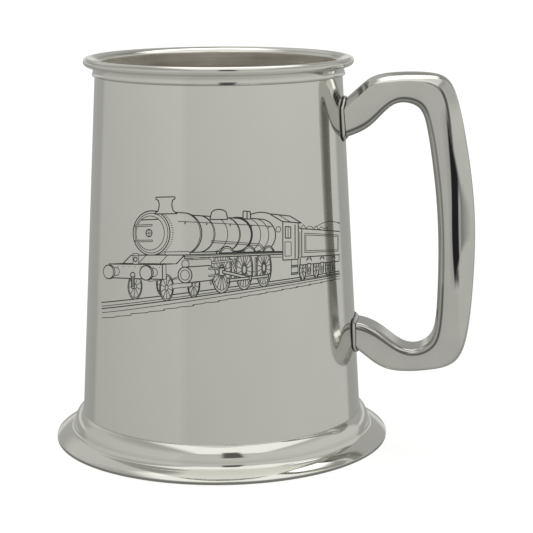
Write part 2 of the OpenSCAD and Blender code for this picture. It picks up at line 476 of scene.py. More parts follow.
def bar_painted_shade(k, spot):
    """Painted shade at point k of a ring round the bar, for its dark reflections: 0 is bare metal, 1 is
    nearly black.
    """
    if k >= HALF_POINTS:
        k = RING_POINTS - k
    past_edge = max(0, k - CHEEK_EDGE_POINT)
    low = GRIP_LOW + GRIP_POINT[0] * past_edge
    high = GRIP_HIGH - GRIP_POINT[1] * past_edge
    outward = smooth(spot.x, *GRIP_RISE_X)
    on_grip = window(spot.z, (low, low + GRIP_FADE[0]), (high - GRIP_FADE[1], high)) * outward
    on_edge = window(spot.z, EDGE_RISE, EDGE_FALL) * outward
    on_top = smooth(spot.z, *TOP_RISE) * smooth(spot.x, *TOP_RISE_X)
    in_streak = window(spot.z, STREAK_RISE, STREAK_FALL) * read_off(STREAK, k)
    line_in = read_off(INNER_LINE, k) * (0.9 - 0.25 * on_grip)
    line_out = max(read_off(OUTER_LINE, k) * on_grip, read_off(EDGE_LINE, k) * on_edge)
    line_out *= 1 - 0.75 * in_streak
    top_shade = read_off(CROWN_SHADE, k) * on_top
    return max(line_in, line_out, top_shade)


def make_handle():
    """The bar, from where its lines leave the drum to where they meet it again."""
    points = []
    painted_shade = []
    for i in range(HANDLE_STEPS + 1):
        share = i / HANDLE_STEPS
        for k in range(RING_POINTS):
            spot = section_point(k, upper_t[k] + (lower_t[k] - upper_t[k]) * share)
            points.append(spot)
            # Each point's share of painted shade, for the bar's dark reflections
            painted_shade.append(bar_painted_shade(k, spot))
    faces = grid_faces(HANDLE_STEPS + 1, RING_POINTS)
    last = HANDLE_STEPS * RING_POINTS
    faces.append(tuple(range(RING_POINTS - 1, -1, -1)))
    faces.append(tuple(range(last, last + RING_POINTS)))
    return finish_mesh("handle_bar", points, faces, 60, painted_shade)


def make_collar(name, ends, into):
    """Solder round one end of the handle, from bar to drum; into is +1 or -1, away from that end."""
    width = 1.15
    climb = 1.1
    bulge = 0.75
    steps = 10
    skim = 0.02
    tuck = 0.3
    loop = [section_point(k, ends[k]) for k in range(RING_POINTS)]
    centre = sum(loop, Vector()) / RING_POINTS
    points = []
    painted_shade = []
    for k, foot in enumerate(loop):
        along_loop = loop[(k + 1) % RING_POINTS] - loop[k - 1]
        normal = Vector((foot.x, foot.y, DRUM_TAPER * drum_r(foot.z))).normalized()
        out = along_loop.cross(normal).normalized()
        if out.dot(foot - centre) < 0:
            out = -out
        up_bar = (section_point(k, ends[k] + into * 0.25) - foot).normalized()
        base = foot - normal * outside_drum(foot, skim)
        top = foot + up_bar * climb + out * skim
        rim = base + out * width
        rim = rim - normal * outside_drum(rim, 1.5 * skim)
        bend = foot + (out * width + up_bar * climb) * bulge
        for s in range(steps + 1):
            t = s / steps
            points.append(curve(top, bend, rim, t))
            # Painted shade, darkest at the edges where the collar meets bar and drum
            painted_shade.append(1 - smooth(min(t, 1 - t), 0.1, 0.35))
        points.append(rim - out * skim - normal * 2.5 * skim)
        points.append(base - out * tuck)
        points.append(foot + up_bar * climb - out * tuck)
        painted_shade += [1, 1, 1]
    return finish_mesh(name, points, grid_faces(RING_POINTS, steps + 4, True), 60, painted_shade)


def make_seam(name, inner_r, z, rise):
    """A hollow fillet of solder, from a face of radius inner_r along a ledge at z."""
    size = abs(rise)
    steps = 6
    sunk = 0.3
    outline = []
    for s in range(steps + 1):
        a = math.radians(90 * s / steps)
        outline.append((inner_r + size * (1 - math.sin(a)), z + rise * (1 - math.cos(a))))
    back = inner_r - SEAM
    below = z - rise * sunk
    return lathe(name, outline + [(back, z + rise), (back, below), (inner_r + size, below)])


# ---------- materials

def plug(tree, made, sockets):
    """Fills in a node's inputs, each with a value or with another node's output."""
    for key, value in sockets.items():
        if isinstance(value, bpy.types.NodeSocket):
            tree.links.new(value, made.inputs[key])
        else:
            made.inputs[key].default_value = value


def node(tree, kind, sockets=None, **settings):
    made = tree.nodes.new(kind)
    for key, value in settings.items():
        setattr(made, key, value)
    plug(tree, made, sockets or {})
    return made


def math_node(tree, operation, a, b=0.0):
    return node(tree, "ShaderNodeMath", {0: a, 1: b}, operation=operation).outputs[0]


def times(tree, a, b):
    return math_node(tree, "MULTIPLY", a, b)


def map_range(tree, value, low, high, to_low=0.0, to_high=1.0, **settings):
    sockets = {"Value": value, "From Min": low, "From Max": high, "To Min": to_low, "To Max": to_high}
    return node(tree, "ShaderNodeMapRange", sockets, **settings).outputs["Result"]


def noise(tree, vector, scale, detail=3.0, roughness=0.5):
    sockets = {"Vector": vector, "Scale": scale, "Detail": detail, "Roughness": roughness}
    return node(tree, "ShaderNodeTexNoise", sockets).outputs["Fac"]


def scaled(tree, vector, factors):
    return node(tree, "ShaderNodeVectorMath", {0: vector, 1: factors}, operation="MULTIPLY").outputs[0]


def new_material(name):
    """An empty material: itself, its tree, its shader and the place on the object."""
    material = bpy.data.materials.new(name)
    material.use_nodes = True
    tree = material.node_tree
    tree.nodes.clear()
    shader = node(tree, "ShaderNodeBsdfPrincipled")
    node(tree, "ShaderNodeOutputMaterial", {"Surface": shader.outputs[0]})
    place = node(tree, "ShaderNodeTexCoord").outputs["Object"]
    return material, tree, shader, place


def turned_place(tree, place):
    """Coordinates that hardly change round the axis, for marks left by turning."""
    x, y, z = node(tree, "ShaderNodeSeparateXYZ", {0: place}).outputs
    square = math_node(tree, "ADD", times(tree, x, x), times(tree, y, y))
    up = math_node(tree, "ADD", z, math_node(tree, "SQRT", square))
    sockets = {0: times(tree, x, 0.03), 1: times(tree, y, 0.03), 2: up}
    return node(tree, "ShaderNodeCombineXYZ", sockets).outputs[0]


def tint(tree, value, dark, light):
    """A colour between dark and light, by value from 0 to 1."""
    sockets = {0: value, 6: (*dark, 1), 7: (*light, 1)}
    return node(tree, "ShaderNodeMix", sockets, data_type="RGBA").outputs[2]


def darkened(tree, colour, share):
    """The colour darkened towards dark grey by a share of painted shade."""
    sockets = {0: share, 6: colour, 7: (0.022, 0.022, 0.026, 1)}
    return node(tree, "ShaderNodeMix", sockets, data_type="RGBA").outputs[2]


def painted_shade_attribute(tree):
    """The painted shade stored with a mesh's points: dark reflections on the handle, shade at the collars'
    edges.
    """
    return node(tree, "ShaderNodeAttribute", attribute_name="painted_shade").outputs["Fac"]


def bump(tree, height, strength, distance, normal=None):
    sockets = {"Height": height, "Strength": strength, "Distance": distance}
    if normal:
        sockets["Normal"] = normal
    return node(tree, "ShaderNodeBump", sockets).outputs[0]


def wire(tree, shader, colour, roughness, normal, metallic=1.0):
    looks = {"Base Color": colour, "Roughness": roughness, "Normal": normal, "Metallic": metallic}
    plug(tree, shader, looks)


def painted_shade_by_height(tree, place):
    """Painted shade by height, standing in for shadow and dark reflections: the foot's upright edge, the
    lip's hem and a thin ring under the highlight on the lip's bead.
    """
    height = node(tree, "ShaderNodeSeparateXYZ", {0: place}).outputs[2]

    def fade(low, high, to_low=0.0, to_high=1.0):
        return map_range(tree, height, low * MM, high * MM, to_low, to_high)

    foot_edge = fade(0.7 * FOOT_EDGE_H, 1.1 * FOOT_EDGE_H, 0.62, 0.0)
    hem = fade(LIP_LOW + 0.3, LIP_LOW + 0.75, 0.42, 0.0)
    on_lip = math_node(tree, "GREATER_THAN", height, (LIP_LOW - 0.02) * MM)
    ring_rise = fade(BEAD_Z + 0.15, BEAD_Z + 0.45)
    ring_fall = fade(BEAD_Z + 0.6, BEAD_Z + 0.9, 0.3, 0.0)
    shaded = math_node(tree, "MAXIMUM", foot_edge, times(tree, hem, on_lip))
    return math_node(tree, "MAXIMUM", shaded, times(tree, ring_rise, ring_fall))


def polished_pewter():
    """Mirror-polished sheet, faintly clouded, with very fine polishing marks."""
    material, tree, shader, place = new_material("polished_pewter")
    cloud = noise(tree, place, 45, 2)
    fine = noise(tree, place, 900, 4, 0.6)
    lines = noise(tree, scaled(tree, place, (1, 1, 0.06)), 2600, 2)
    clean = tint(tree, cloud, (0.70, 0.70, 0.66), (0.735, 0.735, 0.695))
    rough = math_node(tree, "ADD", map_range(tree, cloud, 0.3, 0.7, 0.045, 0.085),
                      map_range(tree, fine, 0.3, 0.7, 0.0, 0.03))
    # Painted shade on the foot's edge, the lip's hem and a ring on the bead
    colour = darkened(tree, clean, painted_shade_by_height(tree, place))
    wire(tree, shader, colour, rough, bump(tree, lines, 0.04, 0.00002))
    return material


def cast_pewter():
    """The handle: cast and buffed by hand, with soft ripples, small pits and scratches."""
    material, tree, shader, place = new_material("cast_pewter")
    ripple = noise(tree, place, 120, 2)
    scratch = noise(tree, scaled(tree, place, (1, 0.12, 0.35)), 1800, 3)
    pits = node(tree, "ShaderNodeTexVoronoi", {"Vector": place, "Scale": 420}).outputs["Distance"]
    clean = tint(tree, ripple, (0.60, 0.597, 0.565), (0.69, 0.688, 0.655))
    soft = bump(tree, ripple, 0.12, 0.0003)
    pitted = bump(tree, map_range(tree, pits, 0.0, 0.12), 0.12, 0.00004, soft)
    # The colour is darkened by the painted shade stored with the bar's points
    wire(tree, shader, darkened(tree, clean, painted_shade_attribute(tree)),
         map_range(tree, scratch, 0.3, 0.75, 0.07, 0.17), bump(tree, scratch, 0.08, 0.00003, pitted))
    return material


def brushed_pewter():
    """The inside and the underside: turned and left dull, so the marks run round the axis."""
    material, tree, shader, place = new_material("brushed_pewter")
    turned_at = turned_place(tree, place)
    lines = noise(tree, turned_at, 2200, 3, 0.7)
    bands = noise(tree, turned_at, 420)
    smudge = noise(tree, place, 60)
    mixed = math_node(tree, "ADD", times(tree, bands, 0.6), times(tree, smudge, 0.4))
    streaks = map_range(tree, mixed, 0.36, 0.64)
    wire(tree, shader, tint(tree, streaks, (0.5, 0.475, 0.425), (0.9, 0.865, 0.79)),
         map_range(tree, lines, 0.25, 0.75, 0.4, 0.58), bump(tree, lines, 0.3, 0.00004), 0.7)
    tangent = node(tree, "ShaderNodeTangent", direction_type="RADIAL", axis="Z").outputs[0]
    plug(tree, shader, {"Anisotropic": 0.6, "Tangent": tangent})
    return material


def solder_metal():
    """Solder: the same metal, duller and a little lumpy."""
    material, tree, shader, place = new_material("solder")
    lumps = noise(tree, place, 700)
    clean = tint(tree, lumps, (0.54, 0.54, 0.5), (0.64, 0.64, 0.6))
    # The colour is darkened by the painted shade stored with the collars' points
    wire(tree, shader, darkened(tree, clean, painted_shade_attribute(tree)),
         map_range(tree, lumps, 0.3, 0.7, 0.16, 0.3), bump(tree, lumps, 0.2, 0.0001))
    return material


def engraved_line():
    """Darkened metal in the engraved lines."""
    material, tree, shader, place = new_material("engraved_line")
    grain = noise(tree, place, 3000)
    wire(tree, shader, tint(tree, grain, (0.03, 0.03, 0.03), (0.07, 0.07, 0.068)),
         map_range(tree, grain, 0.3, 0.7, 0.4, 0.6), bump(tree, grain, 0.2, 0.00003), 0.8)
    return material


INK = engraved_line()
POLISHED = polished_pewter()
CAST = cast_pewter()
BRUSHED = brushed_pewter()
SOLDER = solder_metal()


def dress(piece, material, replaced=None, inside=None, is_inside=None):
    """Material of a piece, and the CAD node it hides; faces that is_inside picks get another one."""
    piece.data.materials.append(material)
    if inside:
        piece.data.materials.append(inside)
        for face in piece.data.polygons:
            if is_inside(face):
                face.material_index = 1
    if replaced:
        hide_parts(replaced)


# ---------- the pieces

def looks_in(face):
    """True where a face of the drum looks at the axis."""
    centre = face.center
    return face.normal.x * centre.x + face.normal.y * centre.y < 0


def looks_down_or_in(face):
    """True on the hidden side of the foot."""
    return face.normal.z < -0.3 or looks_in(face)


def is_bore(face):
    """True on the lip's upright face inside the mouth."""
    return looks_in(face) and abs(face.normal.z) < 0.3


turned_pieces = (
    ("drum_sheet", barrel_outline(), 8, 0.5, "barrel", looks_in),
    ("lip_turned", lip_outline(), 3, 0.25, "lip_moulding", is_bore),
    ("foot_turned", foot_outline(), 3, 0.25, "foot_ring", looks_down_or_in),
)
for name, outline, longest, margin, replaced, is_inside in turned_pieces:
    piece = lathe(name, ease(round_corners(outline), longest, margin))
    dress(piece, POLISHED, replaced, BRUSHED, is_inside)
dress(lathe("floor_turned", floor_path(), False), BRUSHED, "floor_disc")
dress(make_handle(), CAST, "handle")

solder_pieces = (
    (make_collar("upper_collar", upper_t, 1), "upper_handle_solder"),
    (make_collar("lower_collar", lower_t, -1), "lower_handle_solder"),
    (make_seam("foot_seam", drum_r(FOOT_H), FOOT_H, 0.3), "foot_seam_solder"),
    (make_seam("rim_seam", drum_r(LIP_LOW), LIP_LOW, -0.25), "rim_seam_solder"),
)
for piece, replaced in solder_pieces:
    dress(piece, SOLDER, replaced)

# The floor's seam keeps its CAD shape
floor_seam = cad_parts["floor_seam_solder"]
floor_seam.data.materials.clear()
floor_seam.data.materials.append(SOLDER)


# ---------- the engraving

# A plain steam engine, tender and coach in outline, laid out in metres: x back from the buffer beam,
# y towards the viewer's side, z up from the rails. EYE is where it is seen from, and EYE_TURN how far
# the view is turned from straight along the track.
EYE = Vector((-20.8, 14.3, 2.1))
EYE_TURN = math.radians(27.2)
PICTURE_SCALE = 200
# The picture on the drum: half its width, the horizon's height, and how far its ends dip so that the
# rails look straight from a little above
PICTURE_HALF_W = 36.6
HORIZON_Z = 69.5
PICTURE_DIP = 8.2
# Strokes: the length of a step, how far they stand out of and reach into the drum, two widths
STROKE_STEP = 0.25
STROKE_PROUD = 0.02
STROKE_SUNK = 0.04
FINE = 0.21
BOLD = 0.32
CIRCLE_STEPS = 40
# Places that several parts of the engine share
WHEEL_Y = 0.74
COACH_X = 24.0
TENDER_X = 14.6
TENDER_END = 22.6
CAB_X = 11.6
CAB_END = 13.9
DRIVER_X = (5.7, 8.0, 10.3)
DRIVER_R = 0.95
LEADER_X = (1.1, 3.2)
BOILER_Z = 2.6
BARREL_R = 0.79
FIREBOX_X = 8.7
FIREBOX_R = 0.84
SMOKE_X = 1.2
SMOKE_END = 3.7
SMOKE_R = 0.86
PLATE_X = 1.6
PLATE_Z = 1.74
HALF_W = 1.25
STEP_X = 1.0
BEAM_LOW = 0.88
BEAM_HIGH = 1.42

# Every stroke drawn so far, as (width, points of the picture)
strokes = []


def seen(place):
    """A point of the engine in the picture, in millimetres from its middle."""
    away = Vector(place) - EYE
    depth = away.x * math.cos(EYE_TURN) - away.y * math.sin(EYE_TURN)
    side = away.x * math.sin(EYE_TURN) + away.y * math.cos(EYE_TURN)
    return Vector((side, away.z)) * (PICTURE_SCALE / depth)


def in_outline(spot, outline):
    """Whether a spot of the picture lies inside a closed outline."""
    inside = False
    last = outline[-1]
    for here in outline:
        if (here.y > spot.y) != (last.y > spot.y):
            cross_x = here.x + (spot.y - here.y) * (last.x - here.x) / (last.y - here.y)
            inside ^= spot.x < cross_x
        last = here
    return inside


def keep(wanted):
    """Drops what is not wanted of the strokes, and splits them there."""
    left = []
    for weight, path in strokes:
        run = []
        for spot in path:
            if wanted(spot):
                run.append(spot)
                continue
            left.append((weight, run))
            run = []
        left.append((weight, run))
    strokes[:] = [(weight, run) for weight, run in left if len(run) > 1]


def cover(places):
    """Hides whatever has been drawn behind a closed outline."""
    outline = [seen(p) for p in places]
    low = [min(p[i] for p in outline) for i in range(2)]
    high = [max(p[i] for p in outline) for i in range(2)]

    def in_box(spot):
        return low[0] <= spot.x <= high[0] and low[1] <= spot.y <= high[1]

    keep(lambda spot: not (in_box(spot) and in_outline(spot, outline)))


def line(places, weight=FINE, closed=False):
    """Draws a line through places, in short even steps."""
    spots = [seen(p) for p in places]
    if closed:
        spots.append(spots[0])
    path = [spots[0]]
    for a, b in zip(spots, spots[1:]):
        steps = max(1, round((b - a).length / STROKE_STEP))
        path += [a.lerp(b, (k + 1) / steps) for k in range(steps)]
    strokes.append((weight, path))


def shape(places, weight=BOLD):
    """Draws a closed outline that hides what is behind it."""
    cover(places)
    line(places, weight, True)


def turns(start, end):
    return [math.radians(start + (end - start) * k / CIRCLE_STEPS) for k in range(CIRCLE_STEPS + 1)]


def hoop(x, y, z, radius, start=0, end=360):
    """Part of a circle that faces along the track, anticlockwise from the viewer's side."""
    return [(x, y + radius * math.cos(a), z + radius * math.sin(a)) for a in turns(start, end)]


def disc(x, y, z, radius, start=0, end=360):
    """Part of a circle that faces sideways, such as a wheel."""
    return [(x + radius * math.cos(a), y, z + radius * math.sin(a)) for a in turns(start, end)]


def panel(x0, x1, y, z0, z1):
    """An upright rectangle along the track."""
    return [(x0, y, z0), (x1, y, z0), (x1, y, z1), (x0, y, z1)]


def end_panel(x, y0, y1, z0, z1):
    """An upright rectangle across the track."""
    return [(x, y0, z0), (x, y1, z0), (x, y1, z1), (x, y0, z1)]


def level_line(x0, x1, y, z, weight=FINE):
    line([(x0, y, z), (x1, y, z)], weight)


def seen_arc(y, z, radius):
    """The two edges of a lengthwise cylinder, in degrees, lower one first."""
    away = Vector((y - EYE.y, z - EYE.z))
    middle = math.degrees(math.atan2(away.y, away.x))
    half = math.degrees(math.acos(-radius / away.length))
    return middle + half - 360, middle - half


def band(x, y, z, radius, weight=FINE):
    """The seen side of a hoop round a lengthwise cylinder."""
    line(hoop(x, y, z, radius, *seen_arc(y, z, radius)), weight)


def tube(x0, x1, y, z, radius, weight=BOLD):
    """A lengthwise cylinder with its front end open to view."""
    low, high = seen_arc(y, z, radius)
    shape(hoop(x0, y, z, radius, high, low + 360) + hoop(x1, y, z, radius, low, high), weight)
    band(x0, y, z, radius, weight)


def turned(x, profile):
    """A turned shape on the centre line, such as a chimney, from (radius, height)s."""
    sight = Vector((EYE.x - x, EYE.y)).normalized()
    left = [(x + sight.y * r, -sight.x * r, z) for r, z in profile]
    right = [(x - sight.y * r, sight.x * r, z) for r, z in profile]
    shape(left + right[::-1])


def wheel(x, y, radius, spokes):
    hub = 0.2
    tread = 0.87
    shape(disc(x, y, radius, radius))
    line(disc(x, y, radius, radius * tread))
    line(disc(x, y, radius, radius * hub))
    for k in range(spokes):
        a = 2 * math.pi * (k + 0.5) / spokes
        line([(x + radius * s * math.cos(a), y, radius * (1 + s * math.sin(a))) for s in (hub, tread)])


def roof(x, half_w, z, rise):
    """The arched top of a cab or coach, from the far side to the near one."""
    return [(x, half_w * s, z + rise * (1 - s * s)) for s in (k / 8 - 1 for k in range(17))]


def draw_rails():
    """Far rail, near rail, and the uneven edge of the ballast."""
    for y in (-0.75, 0.75):
        level_line(-12, 70, y, 0, BOLD)
        level_line(-12, 70, y, -0.14)
    edge = [1.35 + 0.12 * math.sin(k * 2.1) + 0.08 * math.sin(k * 5.3) for k in range(120)]
    line([(-9 + k * 0.35, y, -0.22) for k, y in enumerate(edge)])


def draw_coach():
    end = 60
    side = 1.35
    eaves = 3.2
    for x in (25.4, 28.0):
        wheel(x, WHEEL_Y, 0.46, 0)
    shape(panel(COACH_X, end, 1.3, 0.95, 1.2), FINE)
    shape(roof(COACH_X, side, eaves, 0.55) + [(COACH_X, side, 1.2), (COACH_X, -side, 1.2)], FINE)
    shape([(COACH_X, side, 1.2), (end, side, 1.2), (end, side, eaves), (end, 0.5, 3.68),
           (COACH_X, 0.5, 3.68), (COACH_X, 1.0, 3.45), (COACH_X, side, eaves)], FINE)
    level_line(COACH_X, end, side, eaves)
    level_line(COACH_X, end, side, 1.95)
    for x in (25.0, 27.4, 29.8, 32.2, 34.6):
        line(panel(x, x + 1.5, side, 2.15, 2.95), FINE, True)


def draw_tender():
    """Wheels, sprung frame, coal and a plain panelled side."""
    axles = (16.0, 18.5, 21.0)
    side = 1.2
    floor = 1.4
    top = 3.0
    for x in axles:
        wheel(x, WHEEL_Y, 0.6, 8)
    shape(panel(TENDER_X, TENDER_END, 1.1, 0.95, floor))
    for x in axles:
        shape(panel(x - 0.28, x + 0.28, 1.15, 0.38, 1.0))
        shape(disc(x, 1.15, 0.62, 0.14), FINE)
        line(disc(x, 1.15, 0.6, 0.7, 50, 130))
        line(disc(x, 1.15, 0.68, 0.7, 50, 130))
    coal = [(TENDER_X + k * 0.5, 0.2, top + 0.32 * abs(math.sin(k * 1.3))) for k in range(17)]
    shape(coal + [(TENDER_END, 0.2, 2.9), (TENDER_X, 0.2, 2.9)], FINE)
    shape(end_panel(TENDER_X, -side, side, floor, top), FINE)
    shape(panel(TENDER_X, TENDER_END, side, floor, top))
    for inset, low in ((0.5, 0.25), (0.7, 0.35)):
        line(panel(TENDER_X + inset, TENDER_END - inset, side, floor + low, top - low), FINE, True)


def draw_cab():
    """Front wall, side, windows, doorway, roof and steps."""
    eaves = 3.3
    ridge = 3.7
    shape(roof(CAB_X, HALF_W, eaves, 0.5) + [(CAB_X, HALF_W, 1.75), (CAB_X, -HALF_W, 1.75)])
    line(hoop(CAB_X, 1.0, 2.9, 0.14))
    shape(panel(CAB_X, CAB_END, HALF_W, 1.3, eaves))
    line(panel(CAB_X + 0.35, CAB_X + 1.15, HALF_W, 2.45, 3.05), BOLD, True)
    line([(CAB_X + 0.75, HALF_W, 2.45), (CAB_X + 0.75, HALF_W, 3.05)])
    line(panel(CAB_X + 0.3, CAB_X + 1.2, HALF_W, 1.5, 2.25), FINE, True)
    line([(CAB_END - 0.5, HALF_W, 1.35), (CAB_END - 0.5, HALF_W, 3.2)], BOLD)
    line([(CAB_END + 0.25, HALF_W, 1.5), (CAB_END + 0.25, HALF_W, 2.8)])
    front = CAB_X - 0.2
    back = CAB_END + 0.4
    shape([(front, 1.3, eaves), (back, 1.3, eaves), (back, 0.6, ridge), (front, 0.6, ridge)])
    line([(CAB_X + 1.0, 1.3, eaves), (CAB_X + 1.0, 0.6, ridge)])
    for z in (0.5, 0.9):
        shape(panel(CAB_X + 1.1, CAB_END - 0.2, 1.3, z, z + 0.08))
    for x in (CAB_X + 1.1, CAB_END - 0.2):
        line([(x, 1.3, 1.3), (x, 1.3, 0.5)])


def draw_wheels():
    """Far leading wheels, frame, then the near wheels."""
    for x in LEADER_X:
        wheel(x, -WHEEL_Y, 0.5, 9)
    shape(panel(0.2, CAB_X, 0.5, 0.78, 1.65), FINE)
    for x in reversed(DRIVER_X):
        wheel(x, WHEEL_Y, DRIVER_R, 16)
        line(disc(x, WHEEL_Y, DRIVER_R, 0.3))
        shape(panel(x - 1.2, x - 1.05, 0.8, 0.45, 1.5), FINE)
    for x in reversed(LEADER_X):
        wheel(x, WHEEL_Y, 0.5, 10)
    shape(panel(1.4, 2.9, 0.8, 0.45, 0.62), FINE)
    line([(LEADER_X[0], 0.8, 0.75), (2.15, 0.8, 0.95), (LEADER_X[1], 0.8, 0.75)])


def draw_boiler():
    """Firebox, barrel and smokebox, with all that stands on them."""
    tube(FIREBOX_X, CAB_X, 0, BOILER_Z, FIREBOX_R)
    tube(SMOKE_END, FIREBOX_X, 0, BOILER_Z, BARREL_R)
    for x in (4.9, 5.0, 6.2, 7.4, 7.5, 9.7, 10.7):
        band(x, 0, BOILER_Z, BARREL_R if x < FIREBOX_X else FIREBOX_R)
    for x in (10.1, 9.7):
        turned(x, ((0.1, 3.4), (0.1, 3.72), (0.07, 3.78)))
    turned(6.9, ((0.4, 3.28), (0.36, 3.5), (0.32, 3.62), (0.2, 3.71), (0.05, 3.74)))
    tube(SMOKE_X, SMOKE_END, 0, BOILER_Z, SMOKE_R)
    band(SMOKE_END - 0.12, 0, BOILER_Z, SMOKE_R)
    for k in range(26):
        a = math.radians(-80 + 6.2 * k)
        y = SMOKE_R * math.cos(a)
        z = BOILER_Z + SMOKE_R * math.sin(a)
        level_line(SMOKE_X + 0.15, SMOKE_X + 0.27, y, z)
    turned(2.3, ((0.46, 3.38), (0.3, 3.5), (0.25, 3.72), (0.28, 3.92), (0.38, 3.97), (0.38, 4.05)))
    level_line(2.0, CAB_X, 0.74, 3.05)
    for x in (2.6, 4.4, 6.6, 8.9, 11.0):
        line([(x, 0.7, 2.95), (x, 0.74, 3.07)], BOLD)
    line([(4.6, 0.8, 2.3), (9.6, 0.85, 2.15), (10.4, 0.85, 1.8)])
    line([(4.6, 0.8, 2.22), (9.5, 0.85, 2.07), (10.2, 0.85, 1.8)])


def draw_smokebox_door():
    """The door, its lock, straps and rail, and the saddle below."""
    x = SMOKE_X
    z = BOILER_Z
    line(hoop(x, 0, z, 0.77))
    line(hoop(x - 0.08, 0, z, 0.66))
    line(hoop(x - 0.15, 0, z, 0.14), BOLD)
    line([(x - 0.15, -0.14, z), (x - 0.15, 0.14, z)])
    line([(x - 0.15, 0, z - 0.14), (x - 0.15, 0, z + 0.14)])
    for strap_z in (z - 0.3, z + 0.3):
        shape(end_panel(x - 0.1, -0.7, 0.12, strap_z - 0.03, strap_z + 0.03), FINE)
    line([(x - 0.1, -0.4, z + 0.52), (x - 0.1, 0.4, z + 0.52)], BOLD)
    shape([(1.5, 0.5, 1.7), (3.4, 0.5, 1.7), (3.4, 0.42, 1.86), (1.5, 0.42, 1.86)], FINE)


def draw_running_plate():
    """Splashers, the plate, and the slope to the deck behind the buffer beam."""
    for x in reversed(DRIVER_X):
        shape(disc(x, 1.0, DRIVER_R, 1.1, 48, 132))
        line(disc(x, 1.0, DRIVER_R, 1.02, 48, 132))
    shape(panel(PLATE_X, CAB_X, HALF_W, PLATE_Z - 0.13, PLATE_Z))
    level_line(PLATE_X, CAB_X, HALF_W, PLATE_Z - 0.05)
    plate_edge = [(PLATE_X, HALF_W, PLATE_Z), (PLATE_X, -HALF_W, PLATE_Z)]
    deck_back = [(STEP_X, HALF_W, BEAM_HIGH), (STEP_X, -HALF_W, BEAM_HIGH)]
    deck_front = [(0, HALF_W, BEAM_HIGH), (0, -HALF_W, BEAM_HIGH)]
    shape(plate_edge + deck_back[::-1])
    for y in (-0.5, 0.5):
        line([(PLATE_X, y, PLATE_Z), (STEP_X, y, BEAM_HIGH)])
    shape(deck_back + deck_front[::-1], FINE)


def draw_motion():
    """Cylinder, slide bars and rods on the viewer's side."""
    x = 2.2
    back = 4.0
    y = 1.0
    z = 0.95
    rod_y = 1.03
    crank_z = 0.55
    crank_x = DRIVER_X[1]
    shape(panel(x, back, HALF_W, 0.75, 1.61), FINE)
    tube(x - 0.1, back, y, 1.38, 0.16, FINE)
    tube(x - 0.15, back, y, z, 0.31)
    line(hoop(x - 0.15, y, z, 0.2))
    for bar_z in (0.8, 1.1):
        shape(panel(back, 5.6, y, bar_z, bar_z + 0.06), FINE)
    shape(panel(4.9, 5.4, 1.02, 0.8, 1.12))
    shape([(5.2, rod_y, 0.9), (crank_x, rod_y, crank_z - 0.07), (crank_x, rod_y, crank_z + 0.07),
           (5.2, rod_y, 1.02)])
    shape([(5.9, rod_y, 1.5), (6.05, rod_y, 1.5), (6.6, rod_y, 0.95), (6.45, rod_y, 0.9)], FINE)
    shape([(4.2, rod_y, 1.34), (6.2, rod_y, 1.38), (6.2, rod_y, 1.46), (4.2, rod_y, 1.42)], FINE)
    shape(panel(DRIVER_X[0], DRIVER_X[2], 0.98, crank_z - 0.06, crank_z + 0.06))
    for pin_x in DRIVER_X:
        shape(disc(pin_x, 1.04, crank_z, 0.12))


def draw_buffer_beam():
    """The beam with its rivets, lamp, coupling and buffers."""
    shape(panel(0, 0.25, HALF_W, BEAM_LOW, BEAM_HIGH), FINE)
    shape(end_panel(0, -HALF_W, HALF_W, BEAM_LOW, BEAM_HIGH))
    for k in range(9):
        y = -1.1 + 0.275 * k
        line([(0, y, BEAM_HIGH - 0.1), (0, y + 0.04, BEAM_HIGH - 0.1)])
    shape(end_panel(0.1, -0.13, 0.13, BEAM_HIGH, 1.82), FINE)
    line([(0.1, -0.13, 1.74), (0.1, 0.13, 1.74)])
    line(hoop(0.08, 0, 1.6, 0.08), BOLD)
    shape(hoop(-0.12, 0, 1.02, 0.1))
    shape(end_panel(-0.12, -0.07, 0.07, 0.52, 0.95))
    line(end_panel(-0.12, -0.03, 0.03, 0.58, 0.9), FINE, True)
    for y in (-0.88, 0.88):
        tube(-0.45, 0, y, 1.13, 0.15, FINE)
        tube(-0.55, -0.45, y, 1.13, 0.26)


def laid(spot):
    """A spot of the picture on the drum, which it meets straight from the front."""
    z = HORIZON_Z + spot.y
    for _ in range(2):
        a = math.asin(spot.x / drum_r(z))
        z = HORIZON_Z + spot.y - PICTURE_DIP * (1 - math.cos(a))
    bearing = BEARING + a
    return Vector((drum_r(z) * math.sin(bearing), -drum_r(z) * math.cos(bearing), z))


def make_engraving():
    """Every stroke as a thin closed bar, let into the drum's face."""
    corners = ((-1, STROKE_PROUD), (1, STROKE_PROUD), (1, -STROKE_SUNK), (-1, -STROKE_SUNK))
    points = []
    faces = []
    for weight, path in strokes:
        places = [laid(spot) for spot in path]
        start = len(points)
        for k, here in enumerate(places):
            along = (places[min(k + 1, len(places) - 1)] - places[max(k - 1, 0)]).normalized()
            out = Vector((here.x, here.y, 0)).normalized()
            half = along.cross(out).normalized() * weight / 2
            for side, rise in corners:
                points.append(here + half * side + out * rise)
        for k in range(len(places) - 1):
            a = start + 4 * k
            for s in range(4):
                faces.append((a + s, a + (s + 1) % 4, a + 4 + (s + 1) % 4, a + 4 + s))
        end = len(points)
        faces.append((start, start + 1, start + 2, start + 3))
        faces.append((end - 1, end - 2, end - 3, end - 4))
    return finish_mesh("engraving", points, faces)


# From back to front, so that nearer parts hide what is behind them
for draw in (draw_rails, draw_coach, draw_tender, draw_cab, draw_wheels, draw_boiler,
             draw_smokebox_door, draw_running_plate, draw_motion, draw_buffer_beam):
    draw()
keep(lambda spot: abs(spot.x) < PICTURE_HALF_W)
dress(make_engraving(), INK)


# ---------- studio

# The camera: its distance from the drum's axis and its height, the way it looks, its roll and lens
CAMERA_DISTANCE = 0.50835
CAMERA_HEIGHT = 0.16091
HEADING = -0.1196
PITCH = 0.2064
ROLL = -0.0036
CAMERA_LENS = 110.07
FLOOR_HALF = 8.0


